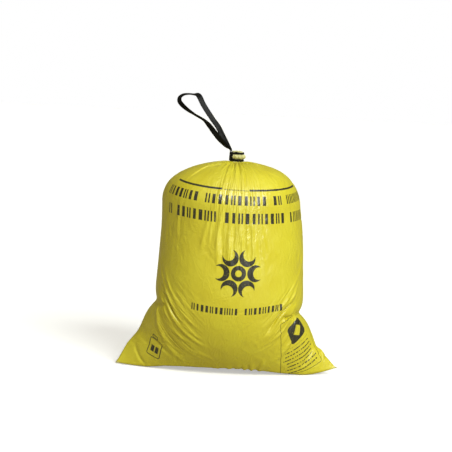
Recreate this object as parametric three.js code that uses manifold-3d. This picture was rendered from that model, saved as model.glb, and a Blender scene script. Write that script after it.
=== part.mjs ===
import * as THREE from 'three';
import { mergeVertices } from 'three/addons/utils/BufferGeometryUtils.js';
import Module from 'manifold-3d';

// A tied waste bag of thin film, filled with light soft waste and standing on the
// floor, with the loop of its black drawtape pulled up out of the neck.
// Units are millimetres. +Z is up, +X runs along the bottom seal and -Y is the
// printed front. The origin is on the floor, midway between the two ears.

// Film tube and its two ears, the flat corners left by the straight bottom seal
const FLAT_WIDTH = 480;
const EAR_DRAW_IN = 3;
const EAR_TIP_HEIGHT = 5;
const LEFT_EAR_HEIGHT = 158;
const RIGHT_EAR_HEIGHT = 128;
const EAR_CURVE = 1.15;
const EAR_SHARPNESS = 1.8;
const SEAL_SKIRT = 9;

// Filled body, as the width and depth of its level sections
const FOOT_WIDTH = 336;
const FOOT_DEPTH = 90;
const FOOT_FULLNESS = 2.4;
const BELLY_DEPTH = 300;
const BELLY_HEIGHT = 200;
const SHOULDER_WIDTH = 290;
const SHOULDER_DEPTH = 280;
const SHOULDER_HEIGHT = 350;

// Lean of the filled body to the left: none at the floor, greatest at the shoulder and
// gone again at the neck
const BODY_LEAN = 2;
const SHOULDER_LEAN = 6;
const LEAN_HEIGHT = 375;
const LEAN_SPREAD = 55;
const LEAN_END_HEIGHT = 400;

// Folds pressed in round the side where an ear meets the body: the side they are on,
// their height there, how deep they go and half their height. They droop to the front
// and back.
const EAR_FOLDS = [
  { side: -1, height: 152, depth: 19, halfHeight: 13 },
  { side: -1, height: 86, depth: 14, halfHeight: 11 },
  { side: 1, height: 122, depth: 25, halfHeight: 15 },
  { side: 1, height: 66, depth: 11, halfHeight: 10 },
  { side: 1, height: 212, depth: 9, halfHeight: 9 },
];
const FOLD_SPREAD_DEG = 21;
const FOLD_DROOP = 60;

// Dome from the shoulder to the tied neck
const DOME_RISE = 91;
const DOME_FULLNESS = 2.3;
const PLEAT_COUNT = 12;
const PLEAT_DEPTH = 4.5;
const PLEAT_REACH = 130;

// Neck: the hem bunched up inside the drawtape
const HEM_RADIUS = 13.6;
const WAIST_RADIUS = 11.4;
const HEM_HEIGHT = 8.4;
const HEM_EDGE_ROUNDING = 1.7;
const NECK_PLEAT_DEPTH = 0.5;
const CROWN_RADIUS = 8.5;
const CROWN_RISE = 1.6;

// Drawtape: one flat tape, wound round the neck twice and left as a free loop
const TAPE_WIDTH = 12;
const TAPE_THICKNESS = 1;
const TURN_HEIGHT = 4.4;
const TURN_THICKNESS = 2.5;
const TURN_ROUNDING = 0.6;
const TURN_GROOVE_ROOM = 0.8;
const KNOT_THICKNESS = 2.2;
const KNOT_OVERHANG = 1.2;
const KNOT_START_DEG = 172;
const KNOT_SPAN_DEG = 64;
const CLEARANCE = 0.3;

// Mesh fineness
const AROUND = 72;
const LOWER_RINGS = 17;
const UPPER_RINGS = 6;
const DOME_RINGS = 8;
const TURN_FACETS = 36;
const LOOP_STEPS_PER_POINT = 3;

// Free loop of tape as [across X, depth Y, height above the knot, roll]. The roll is
// 0 where the broad face looks at the front and 90 where the edge does. The route runs
// up the right strand and down the left one.
const LOOP_ROUTE = [
  [-11.6, -5.5, 0, 84],
  [-12.2, -5.5, 3, 82],
  [-20.3, -6.5, 13, 48],
  [-31.8, -8, 30.4, 18],
  [-41.7, -8, 48, 20],
  [-56, -6, 66.3, 27],
  [-75.6, -2, 93.8, 24],
  [-84.2, 0, 109.4, 18],
  [-88.8, 4, 113.9, 52],
  [-96.8, 6, 113.9, 74],
  [-107.9, 4, 114.3, 74],
  [-118.4, 0, 112.2, 66],
  [-125.1, -4, 106.2, 52],
  [-125.1, -8, 98.4, 38],
  [-118.3, -10, 90.2, 38],
  [-107.2, -10, 81.5, 50],
  [-91.1, -9, 71.9, 66],
  [-72.8, -8, 62, 62],
  [-61.5, -8, 51.6, 34],
  [-50.4, -9, 38.5, 20],
  [-38.1, -9, 24.1, 24],
  [-24.2, -8, 10.4, 52],
  [-15.8, -5.5, 3, 82],
  [-15.2, -5.5, 0, 84],
];

const earReach = FLAT_WIDTH / 2 - EAR_DRAW_IN;
const domeTop = SHOULDER_HEIGHT + DOME_RISE;
const turnRoom = TURN_HEIGHT + 2 * TURN_GROOVE_ROOM;
const neckTop = domeTop + 2 * turnRoom + HEM_HEIGHT;
const turnInnerRadius = WAIST_RADIUS + NECK_PLEAT_DEPTH + CLEARANCE;
const knotInnerRadius = HEM_RADIUS + NECK_PLEAT_DEPTH + CLEARANCE;

const filmYellow = new THREE.MeshStandardMaterial({ color: '#d9cf4f', roughness: 0.35, metalness: 0 });
const tapeBlack = new THREE.MeshStandardMaterial({ color: '#151513', roughness: 0.45, metalness: 0 });

function mix(from, to, share) {
  return from + (to - from) * share;
}

function smooth(share) {
  const t = Math.min(1, Math.max(0, share));
  return t * t * (3 - 2 * t);
}

// Reach of a level section to one side: the filled body plus what that side's ear adds
function bodyReach(height, earHeight) {
  const body = mix(FOOT_WIDTH, SHOULDER_WIDTH, height / SHOULDER_HEIGHT) / 2;
  const earShare = Math.max(0, 1 - Math.max(0, height - EAR_TIP_HEIGHT) / earHeight);
  return body + (earReach - FOOT_WIDTH / 2) * earShare ** EAR_CURVE;
}

// Half depth: narrow where the seal lies on the floor, full at the belly
function bodyHalfDepth(height) {
  const below = Math.max(0, 1 - height / BELLY_HEIGHT);
  const filled = mix(BELLY_DEPTH, FOOT_DEPTH, below ** FOOT_FULLNESS) / 2;
  const towardsShoulder = smooth((height - BELLY_HEIGHT) / (SHOULDER_HEIGHT - BELLY_HEIGHT));
  return mix(filled, SHOULDER_DEPTH / 2, towardsShoulder);
}

function leanAt(height) {
  const shoulder = SHOULDER_LEAN * Math.exp(-(((height - LEAN_HEIGHT) / LEAN_SPREAD) ** 2));
  const gone = smooth((height - LEAN_END_HEIGHT) / (domeTop - LEAN_END_HEIGHT));
  return (BODY_LEAN * smooth(height / BELLY_HEIGHT) + shoulder) * (1 - gone);
}

// How far the ear folds press a place on the wall in, by its height and angle round the body
function pressedIn(height, angle) {
  return EAR_FOLDS.reduce((total, fold) => {
    const fromSide = Math.acos(fold.side * Math.cos(angle));
    const spread = fromSide / THREE.MathUtils.degToRad(FOLD_SPREAD_DEG);
    const middle = fold.height - FOLD_DROOP * (1 - Math.cos(fromSide));
    return total + fold.depth * Math.exp(-(spread ** 2) - ((height - middle) / fold.halfHeight) ** 2);
  }, 0);
}

// One level section. A sharpness of 1 is an ellipse, and above that its ends are pointed.
function section({
  height, rightReach, leftReach = rightReach, halfDepth, sharpness = 1, pleatDepth = 0,
}) {
  return Array.from({ length: AROUND }, (_, i) => {
    const angle = (2 * Math.PI * i) / AROUND;
    const side = Math.sin(angle);
    const fold = pleatDepth * Math.cos(PLEAT_COUNT * angle) - pressedIn(height, angle);
    const reach = Math.cos(angle) > 0 ? rightReach : leftReach;
    const across = (reach + fold) * Math.cos(angle);
    const deep = (halfDepth + fold) * Math.sign(side) * Math.abs(side) ** sharpness;
    return new THREE.Vector3(across - leanAt(height), deep, height);
  });
}

function floorSection() {
  return section({
    height: 0,
    rightReach: earReach - SEAL_SKIRT,
    halfDepth: FOOT_DEPTH / 2,
    sharpness: EAR_SHARPNESS,
  });
}

// Heights of the body's rings, close together where the ears fold and wider above
function bodyHeights() {
  const spread = (from, to, count) => Array.from({ length: count }, (_, i) => mix(from, to, i / count));
  return [
    ...spread(EAR_TIP_HEIGHT, BELLY_HEIGHT, LOWER_RINGS),
    ...spread(BELLY_HEIGHT, SHOULDER_HEIGHT, UPPER_RINGS),
    SHOULDER_HEIGHT,
  ];
}

function bodySections() {
  return bodyHeights().map((height) => section({
    height,
    rightReach: bodyReach(height, RIGHT_EAR_HEIGHT),
    leftReach: bodyReach(height, LEFT_EAR_HEIGHT),
    halfDepth: bodyHalfDepth(height),
    sharpness: mix(EAR_SHARPNESS, 1, smooth((height - EAR_TIP_HEIGHT) / LEFT_EAR_HEIGHT)),
  }));
}

function domeSections() {
  return Array.from({ length: DOME_RINGS }, (_, i) => {
    const turn = ((i + 1) / DOME_RINGS) * (Math.PI / 2);
    const inward = Math.max(0, Math.cos(turn)) ** (2 / DOME_FULLNESS);
    const halfWidth = mix(HEM_RADIUS, SHOULDER_WIDTH / 2, inward);
    const nearNeck = smooth(1 - (halfWidth - HEM_RADIUS) / PLEAT_REACH);
    const fade = smooth((halfWidth - HEM_RADIUS) / (3 * PLEAT_DEPTH));
    return section({
      height: SHOULDER_HEIGHT + DOME_RISE * Math.sin(turn) ** (2 / DOME_FULLNESS),
      rightReach: halfWidth,
      halfDepth: mix(HEM_RADIUS, SHOULDER_DEPTH / 2, inward),
      pleatDepth: NECK_PLEAT_DEPTH + PLEAT_DEPTH * nearNeck * fade,
    });
  });
}

// The bunched hem, drawn in under each turn of the tape and puffed out between them
function neckSections() {
  const lowerTurnTop = domeTop + turnRoom;
  const upperTurnFoot = lowerTurnTop + HEM_HEIGHT;
  const profile = [
    [domeTop + TURN_GROOVE_ROOM, WAIST_RADIUS],
    [lowerTurnTop - TURN_GROOVE_ROOM, WAIST_RADIUS],
    [lowerTurnTop + HEM_EDGE_ROUNDING, HEM_RADIUS],
    [upperTurnFoot - HEM_EDGE_ROUNDING, HEM_RADIUS],
    [upperTurnFoot + TURN_GROOVE_ROOM, WAIST_RADIUS],
    [neckTop - TURN_GROOVE_ROOM, WAIST_RADIUS],
    [neckTop + CROWN_RISE, CROWN_RADIUS],
  ];
  return profile.map(([height, radius]) => section({
    height,
    rightReach: radius,
    halfDepth: radius,
    pleatDepth: NECK_PLEAT_DEPTH,
  }));
}

function centreOf(ring) {
  const sum = ring.reduce((total, point) => total.add(point), new THREE.Vector3());
  return sum.divideScalar(ring.length);
}

// Skin over a stack of rings, closed by a fan of triangles at both ends
function skin(rings) {
  const points = [...rings.flat(), centreOf(rings[0]), centreOf(rings.at(-1))];
  const around = rings[0].length;
  const lastRing = (rings.length - 1) * around;
  const bottomCentre = rings.length * around;
  const topCentre = bottomCentre + 1;
  const faces = [];
  for (let i = 0; i < around; i += 1) {
    const next = (i + 1) % around;
    faces.push(bottomCentre, next, i);
    faces.push(topCentre, lastRing + i, lastRing + next);
    for (let row = 0; row < lastRing; row += around) {
      faces.push(row + i, row + next, row + around + next);
      faces.push(row + i, row + around + next, row + around + i);
    }
  }
  const geometry = new THREE.BufferGeometry();
  geometry.setAttribute('position', new THREE.Float32BufferAttribute(points.flatMap((p) => [p.x, p.y, p.z]), 3));
  geometry.setIndex(faces);
  geometry.computeVertexNormals();
  return geometry;
}

function toSolid(wasm, geometry) {
  const bare = geometry.clone();
  bare.deleteAttribute('normal');
  bare.deleteAttribute('uv');
  const merged = mergeVertices(bare, 1e-4);
  return new wasm.Manifold(new wasm.Mesh({
    numProp: 3,
    vertProperties: new Float32Array(merged.attributes.position.array),
    triVerts: new Uint32Array(merged.index.array),
  }));
}

function toGeometry(solid) {
  const mesh = solid.getMesh();
  const geometry = new THREE.BufferGeometry();
  geometry.setAttribute('position', new THREE.BufferAttribute(mesh.vertProperties, 3));
  geometry.setIndex(new THREE.BufferAttribute(mesh.triVerts, 1));
  geometry.computeVertexNormals();
  return geometry;
}

// One turn of bunched tape round the neck, with rounded corners, centred on a height
function tapeTurn(middleHeight) {
  const inner = turnInnerRadius;
  const outer = inner + TURN_THICKNESS;
  const half = TURN_HEIGHT / 2;
  const corner = TURN_ROUNDING;
  const profile = [
    [inner, -half + corner],
    [inner + corner, -half],
    [outer - corner, -half],
    [outer, -half + corner],
    [outer, half - corner],
    [outer - corner, half],
    [inner + corner, half],
    [inner, half - corner],
    [inner, -half + corner],
  ].map(([radius, height]) => new THREE.Vector2(radius, height));
  const turn = new THREE.LatheGeometry(profile, TURN_FACETS);
  turn.rotateX(Math.PI / 2);
  turn.translate(0, 0, middleHeight);
  return turn;
}

// The tape passing flat down the side of the neck, from one turn to the other
function knotStrip(foot, top) {
  const outer = Math.max(knotInnerRadius, turnInnerRadius + TURN_THICKNESS) + KNOT_THICKNESS;
  const start = THREE.MathUtils.degToRad(KNOT_START_DEG);
  const end = THREE.MathUtils.degToRad(KNOT_START_DEG + KNOT_SPAN_DEG);
  const outline = new THREE.Shape();
  outline.absarc(0, 0, outer, start, end, false);
  outline.absarc(0, 0, knotInnerRadius, end, start, true);
  outline.closePath();
  const strip = new THREE.ExtrudeGeometry(outline, { depth: top - foot, bevelEnabled: false, curveSegments: 8 });
  strip.translate(0, 0, foot);
  return strip;
}

const lowerTurnHeight = domeTop + turnRoom / 2;
const upperTurnHeight = neckTop - turnRoom / 2;
const knotFoot = lowerTurnHeight - TURN_HEIGHT / 2 + KNOT_OVERHANG;
const knotTop = upperTurnHeight + TURN_HEIGHT / 2 + KNOT_OVERHANG;

function knotGeometry(wasm) {
  return toGeometry(toSolid(wasm, tapeTurn(lowerTurnHeight))
    .add(toSolid(wasm, tapeTurn(upperTurnHeight)))
    .add(toSolid(wasm, knotStrip(knotFoot, knotTop))));
}

// The tape's four corners at one place on its route, its width turned by the roll
function tapeSection(place, tangent, rollDeg) {
  const roll = THREE.MathUtils.degToRad(rollDeg);
  const outward = new THREE.Vector3(tangent.z, 0, -tangent.x).normalize();
  const across = outward.multiplyScalar(Math.cos(roll)).add(new THREE.Vector3(0, Math.sin(roll), 0));
  across.addScaledVector(tangent, -across.dot(tangent)).normalize();
  const through = new THREE.Vector3().crossVectors(tangent, across).normalize();
  return [[-1, -1], [1, -1], [1, 1], [-1, 1]].map(([a, b]) => place.clone()
    .addScaledVector(across, (a * TAPE_WIDTH) / 2)
    .addScaledVector(through, (b * TAPE_THICKNESS) / 2));
}

function loopGeometry() {
  const places = LOOP_ROUTE.map(([x, y, z]) => new THREE.Vector3(x, y, knotTop + CLEARANCE + z));
  const route = new THREE.CatmullRomCurve3(places, false, 'centripetal');
  const rolls = new THREE.SplineCurve(LOOP_ROUTE.map(([, , , roll], i) => new THREE.Vector2(i, roll)));
  const steps = (LOOP_ROUTE.length - 1) * LOOP_STEPS_PER_POINT;
  const up = new THREE.Vector3(0, 0, 1);
  const rings = Array.from({ length: steps + 1 }, (_, i) => {
    const share = i / steps;
    const atEnd = i === 0 || i === steps;
    const tangent = atEnd ? up.clone().multiplyScalar(i === 0 ? 1 : -1) : route.getTangent(share);
    return tapeSection(route.getPoint(share), tangent, rolls.getPoint(share).y);
  });
  return skin(rings);
}

function piece(name, geometry, material) {
  const mesh = new THREE.Mesh(geometry, material);
  mesh.name = name;
  return mesh;
}

const wasm = await Module();
wasm.setup();

const bag = new THREE.Group();
bag.add(piece(
  'film_bag',
  skin([floorSection(), ...bodySections(), ...domeSections(), ...neckSections()]),
  filmYellow,
));
bag.add(piece('drawtape_knot', knotGeometry(wasm), tapeBlack));
bag.add(piece('drawtape_loop', loopGeometry(), tapeBlack));

export default bag;
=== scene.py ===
import math

import bpy
import numpy as np
from bpy.props import FloatProperty, FloatVectorProperty, PointerProperty
from mathutils import Matrix, Vector


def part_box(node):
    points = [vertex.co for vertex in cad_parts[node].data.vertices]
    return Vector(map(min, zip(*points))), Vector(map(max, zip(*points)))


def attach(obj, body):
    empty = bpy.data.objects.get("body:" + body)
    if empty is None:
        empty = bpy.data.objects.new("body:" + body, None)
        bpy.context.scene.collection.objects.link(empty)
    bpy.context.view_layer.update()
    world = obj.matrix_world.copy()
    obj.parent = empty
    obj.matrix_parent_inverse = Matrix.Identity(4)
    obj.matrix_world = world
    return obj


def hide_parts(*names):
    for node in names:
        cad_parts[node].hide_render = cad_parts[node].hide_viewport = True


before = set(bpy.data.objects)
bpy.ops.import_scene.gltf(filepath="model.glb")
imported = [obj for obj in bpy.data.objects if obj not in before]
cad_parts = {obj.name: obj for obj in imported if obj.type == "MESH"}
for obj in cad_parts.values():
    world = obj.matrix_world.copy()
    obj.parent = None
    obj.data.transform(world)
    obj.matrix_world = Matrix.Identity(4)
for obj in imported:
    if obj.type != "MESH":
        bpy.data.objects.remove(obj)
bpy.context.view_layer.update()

bl_info = {
    "name": "Drawtape waste bag",
    "version": (1, 0, 0),
    "blender": (4, 5, 0),
    "location": "View3D > Sidebar > Waste bag",
    "description": "A filled film bag with its neck drawn shut by a flat black tape",
    "category": "Add Mesh",
}

MM = 0.001
LOOP_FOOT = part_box("drawtape_loop")[0][2]
NECK_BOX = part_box("drawtape_knot")

# Free loop of tape, in millimetres: across, depth, height above its foot, and roll in
# degrees. The roll is 0 where the broad face looks at the front, 90 where the edge does.
LOOP_ROUTE = [
    (-11.6, -5.5, 0, 84), (-12.2, -5.5, 3, 82), (-20.3, -6.5, 13, 48), (-31.8, -8, 30.4, 18),
    (-41.7, -8, 48, 20), (-56, -6, 66.3, 27), (-75.6, -2, 93.8, 24), (-84.2, 0, 109.4, 18),
    (-88.8, 4, 113.9, 52), (-96.8, 6, 113.9, 74), (-107.9, 4, 114.3, 74), (-118.4, 0, 112.2, 66),
    (-125.1, -4, 106.2, 52), (-125.1, -8, 98.4, 38), (-118.3, -10, 90.2, 38),
    (-107.2, -10, 81.5, 50), (-91.1, -9, 71.9, 66), (-72.8, -8, 62, 62), (-61.5, -8, 51.6, 34),
    (-50.4, -9, 38.5, 20), (-38.1, -9, 24.1, 24), (-24.2, -8, 10.4, 52), (-15.8, -5.5, 3, 82),
    (-15.2, -5.5, 0, 84),
]


# ---------------------------------------------------------------- settings


class FilmBagSettings(bpy.types.PropertyGroup):
    flat_width: FloatProperty(
        name="Flat width", description="Width of the empty tube of film laid flat",
        default=0.480, min=0.1, unit="LENGTH")
    film_length: FloatProperty(
        name="Film length", description="Length of film from the bottom seal to the neck",
        default=0.606, min=0.1, unit="LENGTH")
    ear_reach: FloatProperty(
        name="Ear reach", description="How far each bottom corner stands out from the middle",
        default=0.237, min=0.05, unit="LENGTH")
    left_ear: FloatProperty(
        name="Left ear height", description="Height at which the left corner meets the body",
        default=0.158, min=0.02, unit="LENGTH")
    right_ear: FloatProperty(
        name="Right ear height", description="Height at which the right corner meets the body",
        default=0.128, min=0.02, unit="LENGTH")
    belly_depth: FloatProperty(
        name="Belly depth", description="Front to back size of the filled body",
        default=0.300, min=0.05, unit="LENGTH")
    shoulder_width: FloatProperty(
        name="Shoulder width", description="Width of the body where the dome begins",
        default=0.290, min=0.05, unit="LENGTH")
    pleat_depth: FloatProperty(
        name="Pleat depth", description="Height of the gathers that run into the neck",
        default=0.0032, min=0.0, unit="LENGTH")
    film_color: FloatVectorProperty(
        name="Film colour", description="Colour of the film", subtype="COLOR",
        size=3, min=0.0, max=1.0, default=(0.70, 0.63, 0.024))
    ink_color: FloatVectorProperty(
        name="Ink colour", description="Colour of the print", subtype="COLOR",
        size=3, min=0.0, max=1.0, default=(0.014, 0.014, 0.007))


class TapeSettings(bpy.types.PropertyGroup):
    tape_width: FloatProperty(
        name="Tape width", description="Width of the flat drawtape",
        default=0.012, min=0.002, unit="LENGTH")
    tape_thickness: FloatProperty(
        name="Tape thickness", description="Thickness of the drawtape as modelled",
        default=0.0005, min=0.0001, unit="LENGTH")
    tape_color: FloatVectorProperty(
        name="Tape colour", description="Colour of the drawtape", subtype="COLOR",
        size=3, min=0.0, max=1.0, default=(0.0042, 0.0042, 0.0040))


class StudioSettings(bpy.types.PropertyGroup):
    camera_distance: FloatProperty(
        name="Camera distance", description="Distance from the camera to the bag",
        default=3.0, min=0.5, unit="LENGTH")
    camera_elevation: FloatProperty(
        name="Camera elevation", description="Height of the camera above the horizon",
        default=math.radians(5.5), subtype="ANGLE", unit="ROTATION")
    camera_azimuth: FloatProperty(
        name="Camera azimuth", description="Turn of the camera round the bag",
        default=0.0, subtype="ANGLE", unit="ROTATION")
    camera_roll: FloatProperty(
        name="Camera roll", description="Lean of the camera about its own axis",
        default=math.radians(2.88), subtype="ANGLE", unit="ROTATION")
    view_span: FloatProperty(
        name="View span", description="Width of the view at the bag",
        default=0.949, min=0.1, unit="LENGTH")
    floor_size: FloatProperty(
        name="Floor size", description="Length of a side of the floor",
        default=60.0, min=1.0, unit="LENGTH")
    floor_color: FloatVectorProperty(
        name="Floor colour", description="Colour of the floor", subtype="COLOR",
        size=3, min=0.0, max=1.0, default=(0.90, 0.90, 0.90))


# ---------------------------------------------------------------- small helpers


def mix(a, b, share):
    return a + (b - a) * share


def smooth(share):
    t = np.clip(share, 0, 1)
    return t * t * (3 - 2 * t)


def new_object(name, vertices, faces, uvs=None):
    mesh = bpy.data.meshes.new(name)
    mesh.from_pydata([tuple(map(float, v)) for v in vertices], [], faces)
    mesh.validate()
    mesh.update()
    if uvs is not None:
        layer = mesh.uv_layers.new(name="FilmFlat")
        loops = np.empty(len(mesh.loops), dtype=np.int32)
        mesh.loops.foreach_get("vertex_index", loops)
        layer.data.foreach_set("uv", np.asarray(uvs(loops), dtype=np.float32).ravel())
    for polygon in mesh.polygons:
        polygon.use_smooth = True
    obj = bpy.data.objects.new(name, mesh)
    bpy.context.scene.collection.objects.link(obj)
    return obj


def ring_faces(rows, around, closed=False):
    """Quads between rows of points, where each row is a ring; closed joins the end rows too."""
    faces = []
    for j in range(rows if closed else rows - 1):
        above = (j + 1) % rows
        for i in range(around):
            beside = (i + 1) % around
            faces.append((j * around + i, j * around + beside,
                          above * around + beside, above * around + i))
    return faces


def strip_faces(rows, columns):
    """Faces of a closed strip, where each row runs along its outside and back along its inside."""
    around = 2 * columns
    last = (rows - 1) * around
    faces = ring_faces(rows, around)
    for i in range(columns - 1):
        faces += [(i, around - 1 - i, around - 2 - i, i + 1),
                  (last + i, last + i + 1, last + around - 2 - i, last + around - 1 - i)]
    return faces


# ---------------------------------------------------------------- shader helpers


class Value:
    """A value in a shader tree, reckoned with like a number."""

    def __init__(self, nodes, socket):
        self.nodes, self.socket = nodes, socket

    def made(self, operation, *others):
        return self.nodes.math(operation, self, *others)

    def __add__(self, other):
        return self.made("ADD", other)

    def __sub__(self, other):
        return self.made("SUBTRACT", other)

    def __rsub__(self, other):
        return self.nodes.math("SUBTRACT", other, self)

    def __mul__(self, other):
        return self.made("MULTIPLY", other)

    def __truediv__(self, other):
        return self.made("DIVIDE", other)

    def __rtruediv__(self, other):
        return self.nodes.math("DIVIDE", other, self)

    def __neg__(self):
        return self.made("MULTIPLY", -1.0)

    def __abs__(self):
        return self.made("ABSOLUTE")


class Nodes:
    """Short ways to place and link shader nodes in one tree."""

    def __init__(self, tree):
        self.tree = tree

    def add(self, kind, inputs=(), **settings):
        node = self.tree.nodes.new(kind)
        for key, value in settings.items():
            setattr(node, key, value)
        for socket, value in dict(inputs).items():
            self.feed(node.inputs[socket], value)
        return node

    def feed(self, socket, value):
        value = value.socket if isinstance(value, Value) else value
        if isinstance(value, bpy.types.NodeSocket):
            self.tree.links.new(value, socket)
        elif isinstance(value, bpy.types.Node):
            self.tree.links.new(value.outputs[0], socket)
        else:
            socket.default_value = value

    def math(self, operation, *values, clamp=False):
        node = self.add("ShaderNodeMath", enumerate(values), operation=operation, use_clamp=clamp)
        return Value(self, node.outputs[0])

    def vector(self, operation, *values):
        return self.add("ShaderNodeVectorMath", enumerate(values), operation=operation).outputs[0]

    def combined(self, x, y):
        return self.add("ShaderNodeCombineXYZ", {0: x, 1: y}).outputs[0]

    def parts(self, vector):
        outputs = self.add("ShaderNodeSeparateXYZ", {0: vector}).outputs
        return Value(self, outputs[0]), Value(self, outputs[1])

    def turned(self, vector, angle):
        return self.add("ShaderNodeVectorRotate", {"Vector": vector, "Angle": angle},
                        rotation_type="Z_AXIS").outputs[0]

    def hypot(self, x, y):
        return (x * x + y * y).made("SQRT")

    def ramp(self, value, low, high, start=0.0, end=1.0):
        node = self.add("ShaderNodeMapRange", enumerate((value, low, high, start, end)),
                        interpolation_type="SMOOTHSTEP")
        return Value(self, node.outputs[0])

    def inside(self, value, low, high, edge=0.0003):
        """1 where the value lies between low and high, with soft edges."""
        return self.ramp(value - low, -edge, edge) * self.ramp(high - value, -edge, edge)

    def white_noise(self, value):
        node = self.add("ShaderNodeTexWhiteNoise", noise_dimensions="1D")
        self.feed(node.inputs["W"], value)
        return Value(self, node.outputs[0])

    def noise(self, vector, scale, detail=2.0, roughness=0.5, distortion=0.0):
        node = self.add("ShaderNodeTexNoise", {
            "Vector": vector, "Scale": scale, "Detail": detail, "Roughness": roughness,
            "Distortion": distortion})
        return Value(self, node.outputs[0])

    def blend(self, factor, a, b):
        node = self.add("ShaderNodeMix", data_type="RGBA")
        for socket, value in ((0, factor), (6, a), (7, b)):
            self.feed(node.inputs[socket], value)
        return node.outputs[2]


def shader_group(name, numbers, outputs):
    """A new shader group that takes the flat film coordinates and some named numbers."""
    tree = bpy.data.node_groups.new(name, "ShaderNodeTree")
    tree.interface.new_socket("Flat film", in_out="INPUT", socket_type="NodeSocketVector")
    for label, default in numbers.items():
        socket = tree.interface.new_socket(label, in_out="INPUT", socket_type="NodeSocketFloat")
        socket.default_value = default
    for label in outputs:
        tree.interface.new_socket(label, in_out="OUTPUT", socket_type="NodeSocketFloat")
    nodes = Nodes(tree)
    sockets = nodes.add("NodeGroupInput").outputs
    given = {socket.name: Value(nodes, socket) for socket in sockets if socket.name}
    return tree, nodes, given, nodes.add("NodeGroupOutput").inputs


def new_material(name):
    material = bpy.data.materials.new(name)
    material.use_nodes = True
    nodes = Nodes(material.node_tree)
    shader = next(n for n in material.node_tree.nodes if n.type == "BSDF_PRINCIPLED")
    return material, nodes, shader


# ---------------------------------------------------------------- tape


def curve_points(places, steps_per_point):
    """Points and tangents of a centripetal Catmull-Rom curve through the places."""
    p = np.asarray(places, dtype=float)
    p = np.vstack([2 * p[0] - p[1], p, 2 * p[-1] - p[-2]])
    points, shares = [], []
    for i in range(1, len(p) - 2):
        p0, p1, p2, p3 = p[i - 1:i + 3]
        d0, d1, d2 = (max(np.linalg.norm(b - a) ** 0.5, 1e-6)
                      for a, b in ((p0, p1), (p1, p2), (p2, p3)))
        t1 = ((p1 - p0) / d0 - (p2 - p0) / (d0 + d1) + (p2 - p1) / d1) * d1
        t2 = ((p2 - p1) / d1 - (p3 - p1) / (d1 + d2) + (p3 - p2) / d2) * d1
        for k in range(steps_per_point):
            t = k / steps_per_point
            points.append((2 * t ** 3 - 3 * t ** 2 + 1) * p1 + (t ** 3 - 2 * t ** 2 + t) * t1
                          + (-2 * t ** 3 + 3 * t ** 2) * p2 + (t ** 3 - t ** 2) * t2)
            shares.append(i - 1 + t)
    points.append(p[-2])
    shares.append(len(p) - 3)
    points = np.array(points)
    tangents = np.gradient(points, axis=0)
    tangents /= np.linalg.norm(tangents, axis=1)[:, None]
    return points, tangents, np.array(shares)


def ribbon(points, across, through, widths, thickness, curls, columns=9):
    """A closed flat ribbon: its width shallowly curled, its two faces a thickness apart."""
    rows = []
    offsets = np.linspace(-1, 1, columns)
    for place, a, n, width, curl in zip(points, across, through, widths, curls):
        arc = curl * width * 0.5 * (1 - offsets ** 2)
        face = place + np.outer(offsets * width / 2, a) + np.outer(arc, n)
        edge = np.sqrt(np.clip(1 - (np.abs(offsets) ** 8), 0.2, 1))
        lift = np.outer(edge * thickness / 2, n)
        rows.append(np.vstack([face - lift, (face + lift)[::-1]]))
    return np.vstack(rows), strip_faces(len(rows), columns)


def tape_material():
    settings = bpy.context.scene.bag_tape
    if "tape black" in bpy.data.materials:
        return bpy.data.materials["tape black"]
    material, nodes, shader = new_material("tape black")
    place = nodes.add("ShaderNodeTexCoord").outputs["Object"]
    cloud = nodes.noise(place, 90.0, 3.0, 0.6)
    streaks = nodes.noise(place, 420.0, 4.0, 0.65)
    base = tuple(settings.tape_color)
    pale = tuple(min(1.0, c * 1.8 + 0.002) for c in base)
    nodes.feed(shader.inputs["Base Color"],
               nodes.blend(nodes.ramp(cloud, 0.35, 0.75), (*base, 1), (*pale, 1)))
    nodes.feed(shader.inputs["Roughness"], nodes.ramp(streaks, 0.2, 0.8, 0.36, 0.54))
    shader.inputs["Specular IOR Level"].default_value = 0.10
    bump = nodes.add("ShaderNodeBump", {"Strength": 0.35, "Distance": 0.0004, "Height": streaks})
    crumple = nodes.add("ShaderNodeBump", {
        "Strength": 0.5, "Distance": 0.0012, "Height": cloud, "Normal": bump.outputs[0]})
    nodes.feed(shader.inputs["Normal"], crumple)
    return material


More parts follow.
